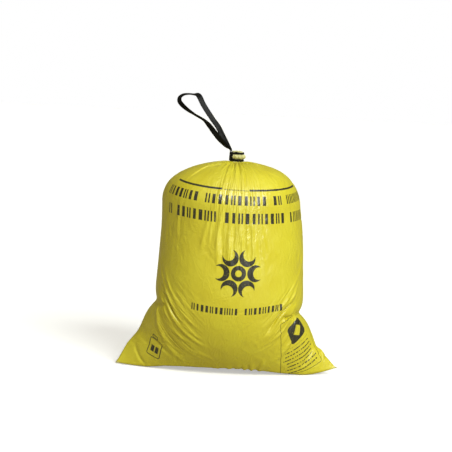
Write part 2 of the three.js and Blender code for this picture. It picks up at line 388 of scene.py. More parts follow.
class BAG_OT_tape_loop(bpy.types.Operator):
    """Make the free loop of drawtape that stands up out of the neck"""

    bl_idname = "waste_bag.tape_loop"
    bl_label = "Tape loop"

    def execute(self, context):
        settings = context.scene.bag_tape
        places = [(x * MM, y * MM, LOOP_FOOT + z * MM) for x, y, z, _ in LOOP_ROUTE]
        points, tangents, shares = curve_points(places, 10)
        tangents[0], tangents[-1] = (0, 0, 1), (0, 0, -1)
        rolls = np.radians(np.interp(shares, range(len(LOOP_ROUTE)), [r for *_, r in LOOP_ROUTE]))
        kernel = np.hanning(11) / np.hanning(11).sum()
        rolls = np.convolve(np.pad(rolls, 5, mode="edge"), kernel, mode="valid")
        outward = np.stack([tangents[:, 2], np.zeros(len(points)), -tangents[:, 0]], axis=1)
        outward /= np.linalg.norm(outward, axis=1)[:, None]
        across = outward * np.cos(rolls)[:, None] + np.outer(np.sin(rolls), (0, 1, 0))
        across -= tangents * np.sum(across * tangents, axis=1)[:, None]
        across /= np.linalg.norm(across, axis=1)[:, None]
        through = np.cross(tangents, across)
        lengths = np.concatenate([[0], np.cumsum(np.linalg.norm(np.diff(points, axis=0), axis=1))])
        length = float(lengths[-1])
        from_end = np.minimum(lengths, length - lengths)
        widths = settings.tape_width * (1.0 - 0.10 * np.exp(-from_end / 0.012))
        curls = 0.10 + 0.05 * np.sin(lengths / 0.021) + 0.16 * np.exp(-from_end / 0.015)
        vertices, faces = ribbon(points, across, through, widths, settings.tape_thickness, curls)
        loop = new_object("tape_loop", vertices, faces)
        loop.data.materials.append(tape_material())
        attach(loop, "root")
        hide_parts("drawtape_loop")
        [tuple(map(float, p)) for p in points[::4]] + [tuple(map(float, points[-1]))]
        return {"FINISHED"}


# Turns of tape round the neck: heights of their middles, radius, height and thickness.
# The knotted strip between them runs round from one angle to the other, in degrees.
LOWER_TURN, UPPER_TURN = 0.444, 0.4584
TURN_RADIUS, TURN_HEIGHT, TURN_THICKNESS = 0.0134, 0.0046, 0.0026
KNOT_START, KNOT_END, KNOT_OUTSIDE, KNOT_INSIDE = 176, 232, 0.0156, 0.0145


def turn_of_tape(middle, seed):
    """One bunched turn round the neck: a ring whose section is a stack of soft ridges."""
    rng = np.random.default_rng(seed)
    around, section = 96, 20
    phases = rng.uniform(0, 2 * math.pi, 6)
    vertices = []
    for i in range(around):
        angle = 2 * math.pi * i / around
        wander = 0.00035 * math.sin(2 * angle + phases[0]) + 0.0002 * math.sin(5 * angle + phases[1])
        swell = 1 + 0.12 * math.sin(3 * angle + phases[2]) + 0.08 * math.sin(7 * angle + phases[3])
        for k in range(section):
            turn = -2 * math.pi * k / section
            out = math.cos(turn)
            up = math.copysign(abs(math.sin(turn)) ** 0.7, math.sin(turn))
            ridge = 0.00022 * math.cos(3.2 * up * math.pi + 1.5 * math.sin(2 * angle + phases[4]))
            r = TURN_RADIUS + out * TURN_THICKNESS / 2 + (ridge if out > 0 else 0)
            z = middle + wander + up * TURN_HEIGHT / 2 * swell
            vertices.append((r * math.cos(angle), r * math.sin(angle), z))
    return vertices, ring_faces(around, section, closed=True)


def knot_of_tape(foot, top):
    """The tape passing down the left front of the neck from the upper turn to the lower."""
    rows, columns = 25, 17
    vertices = []
    for j in range(rows):
        v = j / (rows - 1)
        outer, inner = [], []
        for i in range(columns):
            u = i / (columns - 1)
            angle = math.radians(mix(KNOT_START, KNOT_END, u))
            fold = 0.0005 * math.sin(3.0 * math.pi * u + 1.3 * v) + 0.0003 * math.sin(9 * u + 4 * v)
            belly = 0.0009 * math.sin(math.pi * v) * math.sin(math.pi * u)
            for side, r in ((outer, KNOT_OUTSIDE + fold + belly), (inner, KNOT_INSIDE)):
                side.append((r * math.cos(angle), r * math.sin(angle), mix(foot, top, v)))
        vertices += outer + inner[::-1]
    return vertices, strip_faces(rows, columns)


class BAG_OT_neck_tape(bpy.types.Operator):
    """Make the two turns of tape round the neck and the knotted strip between them"""

    bl_idname = "waste_bag.neck_tape"
    bl_label = "Neck tape"

    def execute(self, context):
        vertices, faces = [], []
        for part in (turn_of_tape(LOWER_TURN, 3), turn_of_tape(UPPER_TURN, 4),
                     knot_of_tape(NECK_BOX[0][2] + 0.001, NECK_BOX[1][2] - 0.0003)):
            faces += [tuple(i + len(vertices) for i in face) for face in part[1]]
            vertices += part[0]
        tape = new_object("neck_tape", vertices, faces)
        tape.data.materials.append(tape_material())
        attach(tape, "root")
        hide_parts("drawtape_knot")
        return {"FINISHED"}


# ---------------------------------------------------------------- film bag form

# Form of the filled bag, in metres: ears, foot, seal as places across and heights, body,
# dome, lean to the left, and how much longer the film is than the form beneath it.
EAR_TIP_HEIGHT, EAR_CURVE = 0.005, 1.15
FOOT_HALF_WIDTH, FOOT_HALF_DEPTH, FOOT_FULLNESS = 0.168, 0.045, 2.4
SEAL_ARCH = ((-0.236, 0.002), (-0.190, 0.001), (-0.164, 0.001), (-0.128, 0.008), (-0.086, 0.011),
             (0.020, 0.014), (0.060, 0.012), (0.109, 0.005), (0.160, 0.0), (0.180, 0.0),
             (0.206, 0.007), (0.236, 0.015))
BELLY_HEIGHT, SHOULDER_HEIGHT, SHOULDER_HALF_DEPTH = 0.200, 0.350, 0.140
DOME_RISE, DOME_FULLNESS, NECK_RADIUS = 0.091, 2.3, 0.0136
BODY_LEAN, SHOULDER_LEAN = 0.002, 0.006
LEAN_HEIGHT, LEAN_SPREAD, LEAN_END_HEIGHT = 0.375, 0.055, 0.400
SLACK_START, SLACK_END = 0.05, 0.26
MIDDLE_SLACK, SIDE_SLACK, ROUND_SLACK = 0.003, 0.036, -0.006
LEFT_TIP_HEIGHT, RIGHT_TIP_HEIGHT = 0.003, 0.015

# How much of an error in spacing is put right at a time, then what blows the film out.
PUSH, SHEAR, SHEAR_PUSH, BEND = 0.5, 0.3, 0.2, 0.15
PRESSURE, DAMPING, UNEVENNESS = 0.00003, 0.9, 0.08

# Ever finer grids: columns, rows, steps, and settlings in each step.
GRID_LEVELS = ((96, 60, 250, 6), (192, 120, 100, 5), (288, 180, 40, 5))
FILM_COLUMNS, FILM_ROWS = 384, 232

# Height of the turn under the foot, and of the stretch in which the film's level section
# goes over from the pointed shape at the seal to a round one.
FOOT_LIFT, LENS_START, LENS_SPAN = 0.004, 0.01, 0.17


class FilmForm:
    """The room that the filled bag takes up, as level sections and a dome."""

    def __init__(self, settings):
        self.ear_reach = settings.ear_reach
        self.ears = {"left": settings.left_ear, "right": settings.right_ear}
        self.belly = settings.belly_depth / 2
        self.shoulder = settings.shoulder_width / 2
        self.half_girth = settings.flat_width
        self.length = settings.film_length

    def reach(self, z, side):
        z = np.clip(z, 0, SHOULDER_HEIGHT)
        share = np.clip(1 - np.maximum(0, z - EAR_TIP_HEIGHT) / self.ears[side], 0, 1)
        filled = mix(FOOT_HALF_WIDTH, self.shoulder, z / SHOULDER_HEIGHT)
        return filled + (self.ear_reach - FOOT_HALF_WIDTH) * share ** EAR_CURVE

    def half_depth(self, z):
        below = np.clip(1 - z / BELLY_HEIGHT, 0, 1)
        filled = mix(self.belly, FOOT_HALF_DEPTH, below ** FOOT_FULLNESS)
        rise = smooth((z - BELLY_HEIGHT) / (SHOULDER_HEIGHT - BELLY_HEIGHT))
        return mix(filled, SHOULDER_HALF_DEPTH, rise)

    def middle(self, z):
        """Lean of the body to the left: none at the floor, greatest at the shoulder."""
        shoulder = SHOULDER_LEAN * np.exp(-((z - LEAN_HEIGHT) / LEAN_SPREAD) ** 2)
        gone = smooth((z - LEAN_END_HEIGHT) / (SHOULDER_HEIGHT + DOME_RISE - LEAN_END_HEIGHT))
        return -(BODY_LEAN * smooth(z / BELLY_HEIGHT) + shoulder) * (1 - gone)

    def arch(self, x):
        """Height of the bottom seal, which is pulled up off the floor in the middle."""
        return np.interp(x, *zip(*SEAL_ARCH))

    def flatness(self, z):
        return mix(1.0, 0.5, smooth((z - EAR_TIP_HEIGHT) / self.ears["left"]))

    def profile(self):
        """Height, half depth and both reaches, from under the foot up to the neck."""
        under = np.linspace(0, 1, 40)[:-1]
        wall = np.linspace(0.0, SHOULDER_HEIGHT, 300)
        turn = np.linspace(0, 1, 300)[1:] * math.pi / 2
        inward = np.maximum(np.cos(turn), 0) ** (2 / DOME_FULLNESS)
        height = np.concatenate([
            FOOT_LIFT * under, FOOT_LIFT + wall * (1 - FOOT_LIFT / SHOULDER_HEIGHT),
            SHOULDER_HEIGHT + DOME_RISE * np.sin(turn) ** (2 / DOME_FULLNESS)])
        depth = np.concatenate([
            FOOT_HALF_DEPTH * under ** 0.8, self.half_depth(wall),
            mix(NECK_RADIUS, SHOULDER_HALF_DEPTH, inward)])
        reaches = {side: np.concatenate([
            self.reach(0.0, side) + FOOT_LIFT * (1 - under), self.reach(wall, side),
            mix(NECK_RADIUS, self.shoulder, inward)]) for side in self.ears}
        return height, depth, reaches

    def start(self, columns, rows):
        """The flat tube wrapped over the form, its slack pushed into the lower wall."""
        height, depth, reaches = self.profile()
        half = self.half_girth
        lens = 1 - smooth((height - LENS_START) / LENS_SPAN)
        grid = np.zeros((rows + 1, columns + 1, 3), dtype=np.float32)
        self.along = np.zeros(columns + 1)
        for i in range(columns + 1):
            s = -half + i * 2 * half / columns
            front = abs(s) <= half / 2 + 1e-9
            flat = s if front else math.copysign(half, s) - s
            if abs(abs(s) - half) < 1e-9:
                flat = 0.0
            reach = reaches["right" if flat > 0 else "left"]
            q = mix(math.sin(s / half * math.pi), flat / (half / 2), lens)
            x = reach * q
            y = depth * np.maximum(0, 1 - q * q) ** mix(0.5, 1.0, lens) * (-1 if front else 1)
            steps = np.sqrt(np.diff(x) ** 2 + np.diff(y) ** 2 + np.diff(height) ** 2)
            along = np.concatenate([[0], np.cumsum(steps)])
            spare = MIDDLE_SLACK + SIDE_SLACK * abs(flat / (half / 2)) ** 3
            along += spare * smooth((height - SLACK_START) / (SLACK_END - SLACK_START))
            along = np.maximum.accumulate(along + 1e-7 * np.arange(len(along)))
            levels = np.linspace(0, along[-1], rows + 1)
            self.along[i] = along[-1] / rows
            for axis, values in enumerate((x, y, height)):
                grid[:, i, axis] = np.interp(levels, along, values)
        girth = np.linalg.norm(np.diff(grid, axis=1), axis=-1).sum(axis=1) * (1 + ROUND_SLACK)
        self.round = np.minimum(girth, 2 * half) / columns
        return grid

    def spacings(self, columns, rows):
        """Rest distance between neighbours round the film at each row, and along each column."""
        def spread(values, count):
            return np.interp(np.linspace(0, 1, count), np.linspace(0, 1, len(values)), values)

        round_by, along_by = spread(self.round, rows + 1), spread(self.along, columns + 1)
        scale_round, scale_along = (len(self.along) - 1) / columns, (len(self.round) - 1) / rows
        return (np.float32(round_by * scale_round)[:, None, None],
                np.float32(along_by * scale_along)[None, :, None])


def refine(grid, columns, rows):
    """The same surface on a finer grid, by a Catmull-Rom fit both ways."""
    def fit(p0, p1, p2, p3, f):
        return 0.5 * (2 * p1 + (p2 - p0) * f + (2 * p0 - 5 * p1 + 4 * p2 - p3) * f ** 2
                      + (3 * p1 - p0 - 3 * p2 + p3) * f ** 3)

    ring = grid[:, :-1]
    high, wide, _ = ring.shape
    u = np.arange(columns) * (wide / columns)
    i = np.floor(u).astype(int)
    ring = fit(*(ring[:, (i + d) % wide] for d in (-1, 0, 1, 2)), (u - i)[None, :, None])
    v = np.linspace(0, high - 1, rows + 1)
    j = np.minimum(np.floor(v).astype(int), high - 2)
    ring = fit(*(ring[np.clip(j + d, 0, high - 1)] for d in (-1, 0, 1, 2)), (v - j)[:, None, None])
    return np.concatenate([ring, ring[:, :1]], axis=1).astype(np.float32)


class Film:
    """Film that hardly stretches, blown out against the form by its filling.

    A grid of points is moved by pressure, then every spacing round, along and across
    the film is put right pair by pair. The last column is the same line as the first.
    """

    def __init__(self, grid, form):
        self.grid = np.ascontiguousarray(grid, dtype=np.float32)
        self.form = form
        self.speed = np.zeros_like(self.grid)
        self.rows, self.columns = self.grid.shape[0] - 1, self.grid.shape[1] - 1
        self.round, self.along = form.spacings(self.columns, self.rows)
        self.area = 4 * float(self.round[:self.rows // 2].mean() * self.along.mean())
        self.partner = (self.columns // 2 - np.arange(self.columns)) % self.columns
        self.top = self.grid[-1].copy()

    def pair(self, first, second, rest, pull, push):
        a, b = self.grid[first], self.grid[second]
        gap = b - a
        length = np.sqrt(np.einsum("...k,...k", gap, gap))[..., None] + 1e-9
        error = 1 - rest / length
        gap *= 0.5 * np.where(error > 0, pull, push) * error
        a += gap
        b -= gap

    def join(self, source, target):
        self.grid[:, target] = self.grid[:, source]

    def settle(self):
        """Put right each spacing: neighbours round and along, diagonals, then next but one."""
        grid, cut = self.grid, slice
        columns, rows, every = self.columns, self.rows, slice(None)
        for first, joined in ((0, (0, -1)), (1, (-1, 0))):
            self.pair((every, cut(first, columns + first, 2)),
                      (every, cut(first + 1, columns + 1 + first, 2)), self.round, 1.0, PUSH)
            self.join(*joined)
        for first in (0, 1):
            self.pair((cut(first, rows, 2),), (cut(first + 1, rows + 1, 2),), self.along, 1.0, PUSH)
        for first in (0, 1):
            n = (rows - first + 1) // 2
            low, high = cut(first, first + 2 * n, 2), cut(first + 1, first + 1 + 2 * n, 2)
            across = np.sqrt(self.round[low] ** 2 + self.along[:, 1:] ** 2)
            self.pair((low, cut(0, columns)), (high, cut(1, columns + 1)), across, SHEAR, SHEAR_PUSH)
            grid[high, 0], grid[low, -1] = grid[high, -1], grid[low, 0]
            self.pair((low, cut(1, columns + 1)), (high, cut(0, columns)), across, SHEAR, SHEAR_PUSH)
            grid[low, 0], grid[high, -1] = grid[low, -1], grid[high, 0]
        for first in (0, 1):
            for skip in (0, 2):
                o = first + skip
                self.pair((every, cut(o, columns - 1, 4)), (every, cut(o + 2, columns + 1, 4)),
                          2 * self.round, 0.0, BEND)
                self.join(*((-1, 0) if first == 0 and skip == 2 else (0, -1)))
                n = len(range(o + 2, rows + 1, 4))
                self.pair((cut(o, o + 4 * n - 3, 4),), (cut(o + 2, o + 4 * n - 1, 4),),
                          2 * self.along, 0.0, BEND)
        self.hold()

    def hold(self):
        """Keep the film inside the form, on the floor and shut along the bottom seal."""
        grid, form = self.grid, self.form
        x, y, z = grid[..., 0], grid[..., 1], grid[..., 2]
        lean = form.middle(z)
        x -= lean
        level = np.clip(z, 0, SHOULDER_HEIGHT)
        a = np.where(x > 0, form.reach(level, "right"), form.reach(level, "left"))
        b = form.half_depth(level)
        m = 1 / form.flatness(level)
        deep = np.abs(y) + 1e-7
        over = (x / a) ** 2 + (deep / b) ** m - 1
        gx, gy = 2 * x / a ** 2, m * (deep / b) ** (m - 1) / b * np.sign(y)
        step = np.where((over > 0) & (z < SHOULDER_HEIGHT), over / (gx * gx + gy * gy + 1e-6), 0)
        x -= step * gx
        y -= step * gy
        h = np.maximum(z - SHOULDER_HEIGHT, 0) / DOME_RISE
        wide, deep = form.shoulder, SHOULDER_HALF_DEPTH
        r = np.sqrt((x / wide) ** 2 + (y / deep) ** 2) + 1e-6
        over = r ** DOME_FULLNESS + h ** DOME_FULLNESS - 1
        gr = DOME_FULLNESS * r ** (DOME_FULLNESS - 2)
        gx, gy = gr * x / wide ** 2, gr * y / deep ** 2
        gz = DOME_FULLNESS * h ** (DOME_FULLNESS - 1) / DOME_RISE
        steep = gx * gx + gy * gy + gz * gz + 1e-6
        step = np.where((over > 0) & (z >= SHOULDER_HEIGHT), over / steep, 0)
        x -= step * gx
        y -= step * gy
        z -= step * gz
        x += lean
        np.maximum(z, form.arch(x), out=z)
        grid[0, :-1] = 0.5 * (grid[0, :-1] + grid[0, self.partner])
        grid[0, -1] = grid[0, 0]
        grid[-1] = self.top
        reach = form.ear_reach - 0.001
        grid[0, self.columns // 4] = (-reach, 0, LEFT_TIP_HEIGHT)
        grid[0, 3 * self.columns // 4] = (reach, 0, RIGHT_TIP_HEIGHT)

    def step(self, settles):
        """One push of the filling outwards, then settling."""
        grid = self.grid
        du, dv = np.empty_like(grid), np.empty_like(grid)
        du[:, 1:-1] = grid[:, 2:] - grid[:, :-2]
        du[:, 0] = du[:, -1] = grid[:, 1] - grid[:, -2]
        dv[1:-1] = grid[2:] - grid[:-2]
        dv[0], dv[-1] = grid[1] - grid[0], grid[-1] - grid[-2]
        outward = np.cross(du, dv) / self.area
        self.speed = self.speed * DAMPING + outward * PRESSURE
        self.speed[0] = 0
        before = grid.copy()
        self.grid = (grid + self.speed).astype(np.float32)
        self.hold()
        for _ in range(settles):
            self.settle()
        self.speed = self.grid - before


def blown_film(form):
    """The filled film as a grid of points, settled on ever finer grids."""
    grid = None
    for columns, rows, steps, settles in GRID_LEVELS[:3]:
        grid = form.start(columns, rows) if grid is None else refine(grid, columns, rows)
        film = Film(grid, form)
        rng = np.random.default_rng(5)
        film.grid[1:-1, :-1] += rng.normal(0, UNEVENNESS / columns, film.grid[1:-1, :-1].shape)
        film.join(0, -1)
        for _ in range(steps):
            film.step(settles)
        grid = film.grid
    return grid


def surface_normals(ring):
    """Outward normals of a grid whose columns close on themselves."""
    du = np.roll(ring, -1, axis=1) - np.roll(ring, 1, axis=1)
    dv = np.gradient(ring, axis=0)
    normal = np.cross(du, dv)
    return normal / (np.linalg.norm(normal, axis=-1)[..., None] + 1e-12)


# Fans of creases pressed into the film, as flat places in metres: the first crease's start
# and end, the last one's start and end, how many, their width, height and sideways bow.
# Pull runs from each ear's inner corner down to the middle, and up from the seal's middle.
CREASE_FANS = [
    ((-0.205, 0.330), (-0.070, 0.205), (-0.168, 0.190), (-0.040, 0.090), 30, 0.0031, 0.0012, 0.014),
    ((-0.225, 0.250), (-0.150, 0.150), (-0.150, 0.150), (-0.080, 0.070), 12, 0.0034, 0.0011, 0.010),
    ((0.212, 0.350), (0.090, 0.205), (0.180, 0.200), (0.055, 0.115), 20, 0.0031, 0.0012, -0.013),
    ((0.225, 0.250), (0.165, 0.165), (0.160, 0.150), (0.100, 0.085), 8, 0.0036, 0.0012, -0.008),
    ((-0.030, 0.014), (-0.045, 0.085), (0.062, 0.014), (0.082, 0.090), 12, 0.0034, 0.0019, 0.002),
    ((-0.035, 0.475), (-0.062, 0.330), (0.060, 0.475), (0.085, 0.310), 17, 0.0036, 0.0019, 0.003),
    ((-0.040, 0.400), (-0.035, 0.290), (0.060, 0.400), (0.066, 0.270), 12, 0.0040, 0.0015, 0.003),
    ((-0.200, 0.440), (-0.190, 0.340), (-0.110, 0.450), (-0.120, 0.350), 8, 0.0044, 0.0008, 0.004),
]


def fan_creases(seed, half_girth, on_back=False):
    """The creases of every fan, each a little off its even place, on the front or the back."""
    rng = np.random.default_rng(seed)
    creases = []
    for a0, b0, a1, b1, count, width, height, bow in CREASE_FANS:
        if on_back:
            a0, b0, a1, b1 = ((half_girth - s, v) for s, v in (a0, b0, a1, b1))
            bow = -bow
        for k in range(count):
            share = (k + rng.uniform(0.1, 0.9)) / count
            start, end = mix(np.array(a0), np.array(a1), share), mix(np.array(b0), np.array(b1), share)
            slide = rng.uniform(-0.18, 0.25)
            start = mix(start, end, slide + rng.uniform(0, 0.15))
            end = mix(end, start, -slide + rng.uniform(-0.15, 0.15)) + rng.normal(0, 0.006, 2)
            creases.append((*start, *end, width * rng.uniform(0.8, 1.5),
                            height * rng.uniform(0.35, 1.15), bow * rng.uniform(0.3, 1.4)))
    return creases


def spread_creases(count, seed, half_girth):
    """Short, shallow creases of many directions, left all over the film by its packing."""
    rng = np.random.default_rng(seed)
    creases = []
    for _ in range(count):
        s, v = rng.uniform(-half_girth, half_girth), rng.uniform(0.04, 0.50)
        lean, reach = rng.normal(0.0, 0.9), rng.uniform(0.02, 0.075)
        creases.append((s, v, s + reach * math.sin(lean), v + reach * math.cos(lean),
                        rng.uniform(0.0030, 0.0060), rng.uniform(-0.0006, 0.0006),
                        rng.uniform(-0.006, 0.006)))
    return creases


def crease_heights(s, v, creases, half_girth):
    """Height that the creases add at each place of a grid of flat film coordinates."""
    height = np.zeros((len(v), len(s)))
    for s0, v0, s1, v1, width, tall, bow in creases:
        length = math.hypot(s1 - s0, v1 - v0)
        us, uv = (s1 - s0) / length, (v1 - v0) / length
        ds = (s[None, :] - s0 + half_girth) % (2 * half_girth) - half_girth
        dv = v[:, None] - v0
        along = (ds * us + dv * uv) / length
        inside = (along > -0.1) & (along < 1.1)
        if not inside.any():
            continue
        across = ds * uv - dv * us - bow * np.sin(np.clip(along, 0, 1) * math.pi)
        ends = smooth(along / 0.3) * smooth((1 - along) / 0.3)
        body = np.exp(-(across / width) ** 2) - 0.4 * np.exp(-((across + 1.6 * width) / width) ** 2)
        height += np.where(inside, tall * ends * body, 0)
    return height


PLEATS, SHORT_CREASES, SOFTENING_PASSES = 52, 210, 130


def gather_heights(s, down, half_girth, depth):
    """Pleats that run from the neck down over the dome, longest at the front middle."""
    rng = np.random.default_rng(11)
    height = np.zeros((len(down), len(s)))
    for k in range(PLEATS):
        middle = -half_girth + (k + rng.uniform(0.15, 0.85)) * 2 * half_girth / PLEATS
        front = (math.exp(-((middle - 0.012) / 0.075) ** 2)
                 + 0.7 * math.exp(-((half_girth - abs(middle)) / 0.080) ** 2))
        reach = rng.uniform(0.040, 0.085) + 0.17 * front * rng.uniform(0.35, 1.0)
        width = rng.uniform(0.0040, 0.0085) * (1 - 0.25 * front)
        drift = rng.uniform(-0.05, 0.05)
        tall = rng.uniform(0.45, 1.0) * (0.60 + 1.05 * front)
        centre = middle + drift * down
        gap = (s[None, :] - centre[:, None] + half_girth) % (2 * half_girth) - half_girth
        broad = (width * (1 + 0.8 * np.exp(-down / 0.04)))[:, None]
        ridge = np.exp(-(gap / broad) ** 2) - 0.45 * np.exp(-((gap - 1.7 * broad) / broad) ** 2)
        height += tall * ridge * (smooth(1 - down / reach) ** 1.2)[:, None]
    return height * depth * smooth(down / 0.012)[:, None]


def softened_sides(ring, s, v):
    """Even out the tightest folds where each ear meets the body."""
    share = np.exp(-((np.abs(s) - 0.24) / 0.060) ** 4)[None, :] * (
        smooth((v - 0.05) / 0.06) * smooth((0.34 - v) / 0.08))[:, None]
    for _ in range(SOFTENING_PASSES):
        moved = ring.copy()
        moved[1:-1] = (ring[:-2] + ring[2:]) / 2
        beside = (np.roll(ring, 1, axis=1) + np.roll(ring, -1, axis=1)) / 2
        ring = ring + (0.5 * moved + 0.5 * beside - ring) * (0.7 * share)[..., None]
    return ring


def pressed_film(ring, form, pleat_depth):
    """The blown film with its pleats and creases raised along its own outward normals."""
    rows, columns, _ = ring.shape
    s = (np.arange(columns) / columns * 2 - 1) * form.half_girth
    v = np.linspace(0, form.length, rows)
    height = gather_heights(s, form.length - v, form.half_girth, pleat_depth)
    creases = (fan_creases(37, form.half_girth) + fan_creases(41, form.half_girth, on_back=True)
               + spread_creases(SHORT_CREASES, 31, form.half_girth))
    height += crease_heights(s, v, creases, form.half_girth)
    height[0] = 0
    ring = softened_sides(ring, s, v) + surface_normals(ring) * height[..., None]
    ring[:, :, 2] = np.maximum(ring[:, :, 2], 0)
    return ring


# The bunched hem, as heights and radii.
HEM_PROFILE = (
    (0.4425, 0.0116), (0.4455, 0.0112), (0.4468, 0.0130), (0.4480, 0.0146), (0.4496, 0.0156),
    (0.4515, 0.0160), (0.4535, 0.0155), (0.4550, 0.0143), (0.4562, 0.0126), (0.4580, 0.0113),
    (0.4605, 0.0112), (0.4618, 0.0110), (0.4628, 0.0096), (0.4632, 0.0070), (0.4624, 0.0038))
HEM_STEP, HEM_END = 0.004, 0.08


def neck_rings(columns):
    """The bunched hem above the dome: drawn in under each turn of tape, puffed between."""
    rng = np.random.default_rng(23)
    angle = (np.arange(columns) / columns * 2 - 1) * math.pi - math.pi / 2
    waves = [(n, rng.uniform(0.5, 1.0), rng.uniform(0, 2 * math.pi)) for n in (9, 14, 19, 27, 38, 51)]
    rings = []
    for i, (z, radius) in enumerate(HEM_PROFILE):
        puffed = float(smooth((radius - 0.0115) / 0.004))
        folds = sum(size * np.cos(n * (angle + 0.035 * math.sin(0.9 * i + n)) + phase)
                    for n, size, phase in waves) / 3
        folds = np.sign(folds) * np.abs(folds) ** 0.8
        r = radius + (0.0004 + 0.0010 * puffed) * folds
        sag = 0.0009 * puffed * np.cos(5 * angle + 0.8 * i)
        x, y = r * np.cos(angle) + 0.0012 * puffed, r * np.sin(angle)
        rings.append(np.stack([x, y, z + sag], axis=1))
    return np.array(rings)


class BAG_OT_film_bag(bpy.types.Operator):
    """Blow the flat film tube out into the filled bag and gather its neck"""

    bl_idname = "waste_bag.film_bag"
    bl_label = "Film bag"

    def execute(self, context):
        settings = context.scene.bag_film
        form = FilmForm(settings)
        columns, rows = FILM_COLUMNS, FILM_ROWS
        ring = refine(blown_film(form), columns, rows)[:, :-1]
        ring = pressed_film(ring, form, settings.pleat_depth)
        neck = neck_rings(columns)
        grid = np.concatenate([ring, neck])
        partner = (columns // 2 - np.arange(columns)) % columns
        index = np.arange(grid.shape[0] * columns).reshape(grid.shape[0], columns)
        index[0] = np.minimum(np.arange(columns), partner)
        faces = []
        for j in range(grid.shape[0] - 1):
            corners = (index[j], np.roll(index[j], -1), np.roll(index[j + 1], -1), index[j + 1])
            faces += zip(*(c.tolist() for c in corners))
        vertices = grid.reshape(-1, 3)
        top = len(vertices)
        vertices = np.vstack([vertices, [(0, 0, neck[-1, :, 2].mean())]])
        last = index[-1]
        faces += [(int(a), int(b), top) for a, b in zip(last, np.roll(last, -1))]
        faces = [tuple(dict.fromkeys(face)) for face in faces]
        faces = [face for face in faces if len(face) > 2]
        used = np.unique(np.concatenate([np.array(face) for face in faces]))
        renumber = np.full(len(vertices), -1)
        renumber[used] = np.arange(len(used))
        # flat film coordinates: metres round from the front middle, metres up from the seal
        round_at = np.tile((np.arange(columns) / columns * 2 - 1) * form.half_girth, grid.shape[0])
        up_at = np.repeat(np.concatenate([
            np.linspace(0, form.length, rows + 1),
            form.length + HEM_STEP * np.arange(1, len(neck) + 1)]), columns)
        flat = np.column_stack([np.append(round_at, 0), np.append(up_at, form.length + HEM_END)])
        bag = new_object("film_bag_skin", vertices[used],
                         [tuple(int(renumber[i]) for i in face) for face in faces],
                         uvs=lambda loops: flat[used][loops])
        mend_wrap(bag, form.half_girth)
        bag.data.materials.append(film_material())
        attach(bag, "root")
        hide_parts("film_bag")
        return {"FINISHED"}


def mend_wrap(obj, half_girth):
    """Give each face at the back middle its own run of flat coordinates."""
    mesh = obj.data
    layer = mesh.uv_layers["FilmFlat"].data
    for polygon in mesh.polygons:
        values = [layer[i].uv.x for i in polygon.loop_indices]
        if max(values) - min(values) > half_girth:
            for i in polygon.loop_indices:
                if layer[i].uv.x > 0:
                    layer[i].uv.x -= 2 * half_girth


# ---------------------------------------------------------------- film material


def bar_row_group():
    """A printed row of plain upright bars, set in groups, along a slightly bowed line."""
    tree, nodes, given, out = shader_group("bar row", {
        "Left": 0.0, "Foot": 0.0, "Height": 0.015, "Pitch": 0.01, "Count": 20.0,
        "Gap 1": -1.0, "Gap 2": -1.0, "Gap 3": -1.0, "Bow": 0.0}, ["Ink"])
    s, v = nodes.parts(given["Flat film"])
    up = v - given["Foot"] - s * s * given["Bow"]
    place = (s - given["Left"]) / given["Pitch"]
    cell = place.made("FLOOR")
    off = abs(place.made("FRACT") - 0.5)
    pick, other = nodes.white_noise(cell), nodes.white_noise(cell + 50.0)
    soft = 0.0004 / given["Pitch"]
    # each cell holds one bar or a pair of them, half their widths given as shares of a cell
    single = nodes.ramp(pick * 0.13 + 0.17 - off, -soft, soft)
    pair = nodes.ramp(0.125 - abs(off - (pick * 0.05 + 0.22)), -soft, soft)
    two = other.made("GREATER_THAN", 0.42)
    ink = pair * two + single * (1.0 - two)
    ink = ink * nodes.inside(up, 0.0, given["Height"])
    ink = ink * nodes.inside(place, 0.0, given["Count"], 0.01)
    for gap in ("Gap 1", "Gap 2", "Gap 3"):
        ink = ink * abs(cell - given[gap]).made("GREATER_THAN", 0.5)
    nodes.feed(out["Ink"], ink)
    return tree


def printed_line_group():
    """One printed line along the film, slightly bowed."""
    tree, nodes, given, out = shader_group("printed line", {
        "Left": 0.0, "Right": 0.1, "Foot": 0.0, "Thickness": 0.002, "Bow": 0.0}, ["Ink"])
    s, v = nodes.parts(given["Flat film"])
    up = v - given["Foot"] - s * s * given["Bow"]
    across = nodes.inside(s, given["Left"], given["Right"])
    nodes.feed(out["Ink"], nodes.inside(up, 0.0, given["Thickness"]) * across)
    return tree


def placed(nodes, given):
    """Flat film coordinates about a mark's own middle, turned by its tilt."""
    middle = nodes.combined(given["Middle across"], given["Middle up"])
    return nodes.turned(nodes.vector("SUBTRACT", given["Flat film"], middle), given["Tilt"])


def printed_box_group():
    """A printed box with rounded corners, as a filled patch and as an outline."""
    tree, nodes, given, out = shader_group("printed box", {
        "Middle across": 0.0, "Middle up": 0.0, "Half width": 0.02, "Half height": 0.02,
        "Corner": 0.003, "Line": 0.001, "Tilt": 0.0}, ["Filled", "Outline"])
    corner = given["Corner"]
    half = nodes.combined(given["Half width"] - corner, given["Half height"] - corner)
    over = nodes.vector("SUBTRACT", nodes.vector("ABSOLUTE", placed(nodes, given)), half)
    x, y = nodes.parts(over)
    far = nodes.hypot(x.made("MAXIMUM", 0.0), y.made("MAXIMUM", 0.0))
    edge = far + x.made("MAXIMUM", y).made("MINIMUM", 0.0) - corner
    nodes.feed(out["Filled"], nodes.ramp(edge, -0.0003, 0.0003, 1.0, 0.0))
    nodes.feed(out["Outline"], nodes.inside(-edge, 0.0, given["Line"], 0.00025))
    return tree


